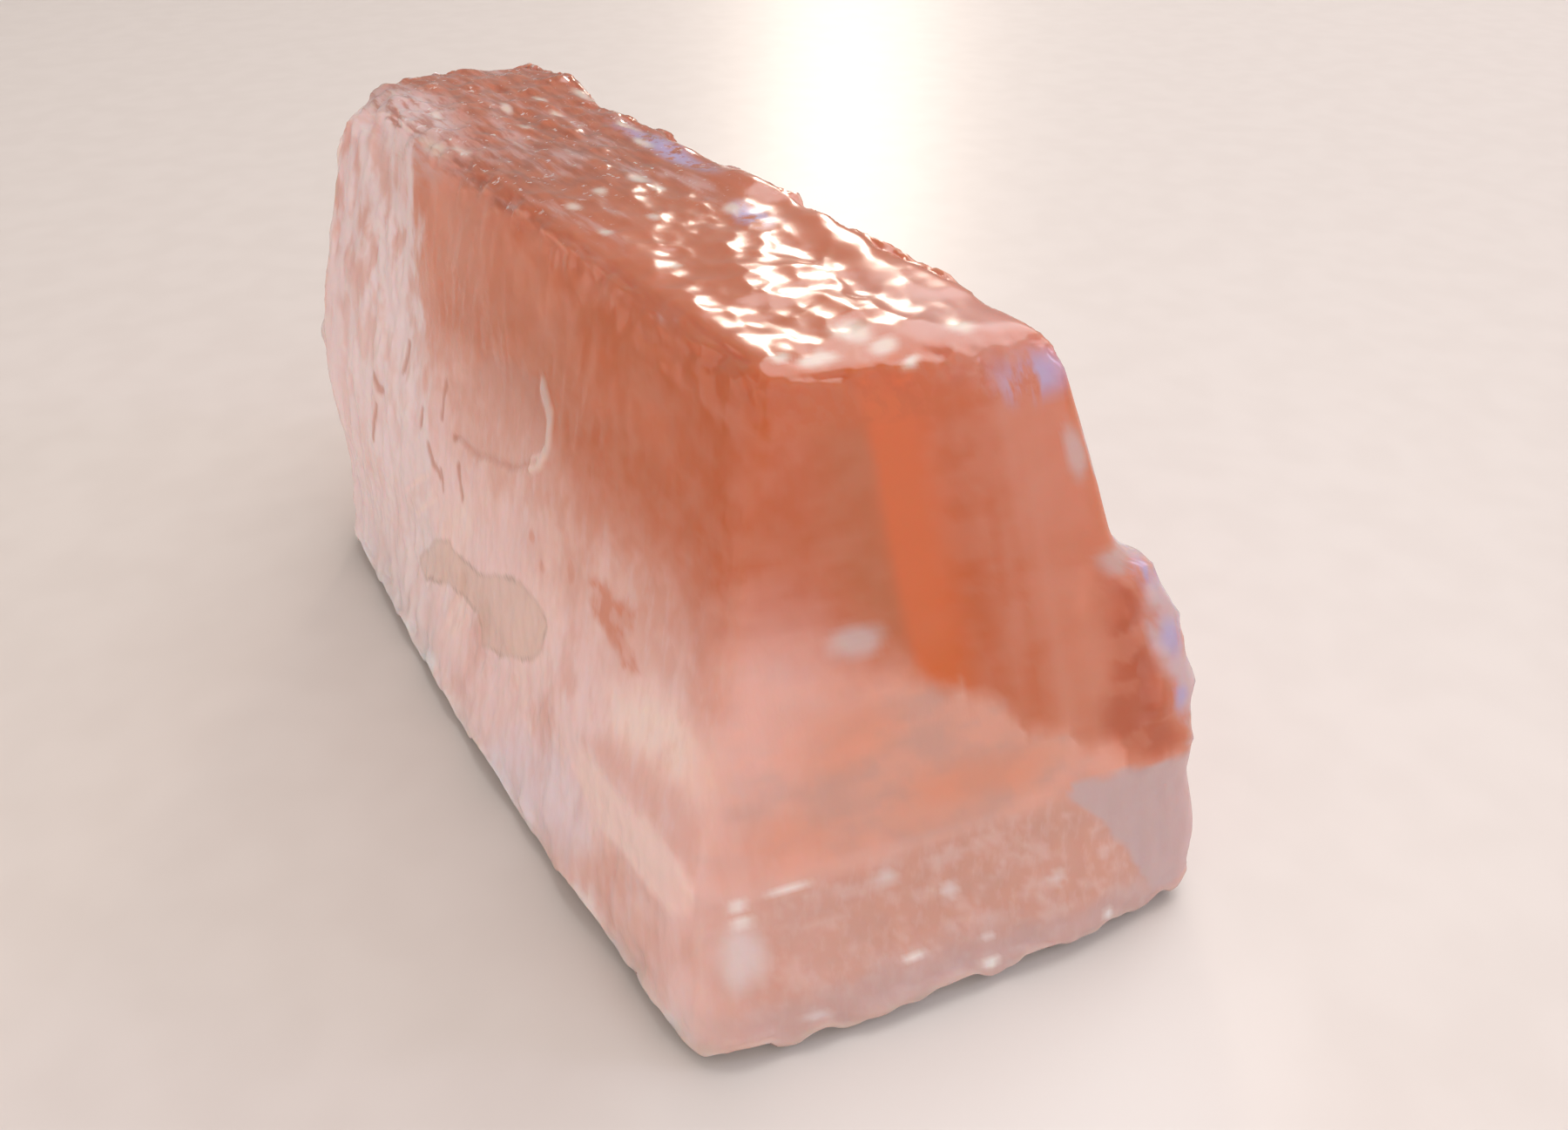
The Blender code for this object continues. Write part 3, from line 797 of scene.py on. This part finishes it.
bpy.ops.object.select_all(action="DESELECT")
bpy.ops.mesh.primitive_plane_add(size=TABLE_SIZE)
table = bpy.context.active_object
table.name = "table"
satin, tree, shader, place = new_material("pale_satin")
shader.inputs["Roughness"].default_value = TABLE_ROUGHNESS
tone = curve(streaks(TONE_SIZE, 1, (1, 1, 1)), 0.3, 0.7)
light_pool_place = add_node(
    "ShaderNodeMapping",
    {"Vector": place, "Location": LIGHT_POOL_PLACE, "Scale": LIGHT_POOL_SIZE},
    vector_type="TEXTURE",
).outputs[0]
light_pool = add_node("ShaderNodeTexGradient", {"Vector": light_pool_place}, gradient_type="SPHERICAL")
light_pool_share = curve(light_pool.outputs["Fac"], 0.0, 0.8)
table_colour = lay(TABLE_TONES[0], TABLE_TONES[1], tone)
tree.links.new(lay(table_colour, LIGHT_POOL_TONE, light_pool_share), shader.inputs["Base Color"])
table.data.materials.append(satin)

# The light: a small warm light low behind the stone makes the glare and the glints on its top.
# Wide soft lights above, in front and to the left fill the rest, in a pale room.

ROOM_COLOUR = (1.0, 0.96, 0.93, 1)
ROOM_STRENGTH = 0.36


def add_lamp(name, place_mm, target_mm, width, depth, power, colour):
    """Adds a soft oval light at a place, turned to a target. Its width and depth are in metres."""
    bpy.ops.object.light_add(type="AREA", location=[value * MM for value in place_mm])
    lamp = bpy.context.active_object
    lamp.name = name
    aim = Vector(place_mm) - Vector(target_mm)
    lamp.rotation_euler = aim.to_track_quat("Z", "Y").to_euler()
    lamp.data.shape = "ELLIPSE"
    lamp.data.size = width
    lamp.data.size_y = depth
    lamp.data.energy = power
    lamp.data.color = colour
    lamp.visible_camera = False


add_lamp("window", (1720, 2350, 1180), (0, 0, 40), 0.36, 0.52, 10.0, (1.0, 0.90, 0.77))
add_lamp("ceiling", (600, 300, 950), (0, 0, 0), 1.2, 1.2, 9.2, (0.98, 0.98, 1.0))
add_lamp("front_box", (150, -1700, 1250), (0, 0, 0), 3.0, 3.0, 18.0, (0.92, 0.96, 1.0))
add_lamp("left_box", (-1450, -150, 560), (0, 0, 0), 5.0, 1.2, 11.6, (1.0, 0.96, 0.92))
add_lamp("high_left", (-500, 0, 1100), (0, 0, 0), 0.8, 0.8, 0.7, (1.0, 0.97, 0.92))
add_lamp("side_window", (900, -500, 600), (0, 0, 40), 0.2, 0.4, 1.6, (0.74, 0.72, 1.0))

world = bpy.data.worlds.new("pale_room")
bpy.context.scene.world = world
world.use_nodes = True
world.node_tree.nodes["Background"].inputs["Color"].default_value = ROOM_COLOUR
world.node_tree.nodes["Background"].inputs["Strength"].default_value = ROOM_STRENGTH
bpy.context.scene.view_settings.view_transform = "Standard"

# The camera: a wide lens held close to the near left corner of the stone, looking down at it.

CAMERA_PLACE = (-51.1, -105.6, 92.9)
CAMERA_TURN = (54.4, 0, -33.07)
LENS = 28.0
SENSOR_WIDTH = 36.0
NEAREST_SEEN = 0.005

bpy.ops.object.camera_add(location=[value * MM for value in CAMERA_PLACE])
camera = bpy.context.active_object
camera.rotation_euler = [math.radians(angle) for angle in CAMERA_TURN]
camera.data.lens = LENS
camera.data.sensor_width = SENSOR_WIDTH
camera.data.clip_start = NEAREST_SEEN
bpy.context.scene.camera = camera
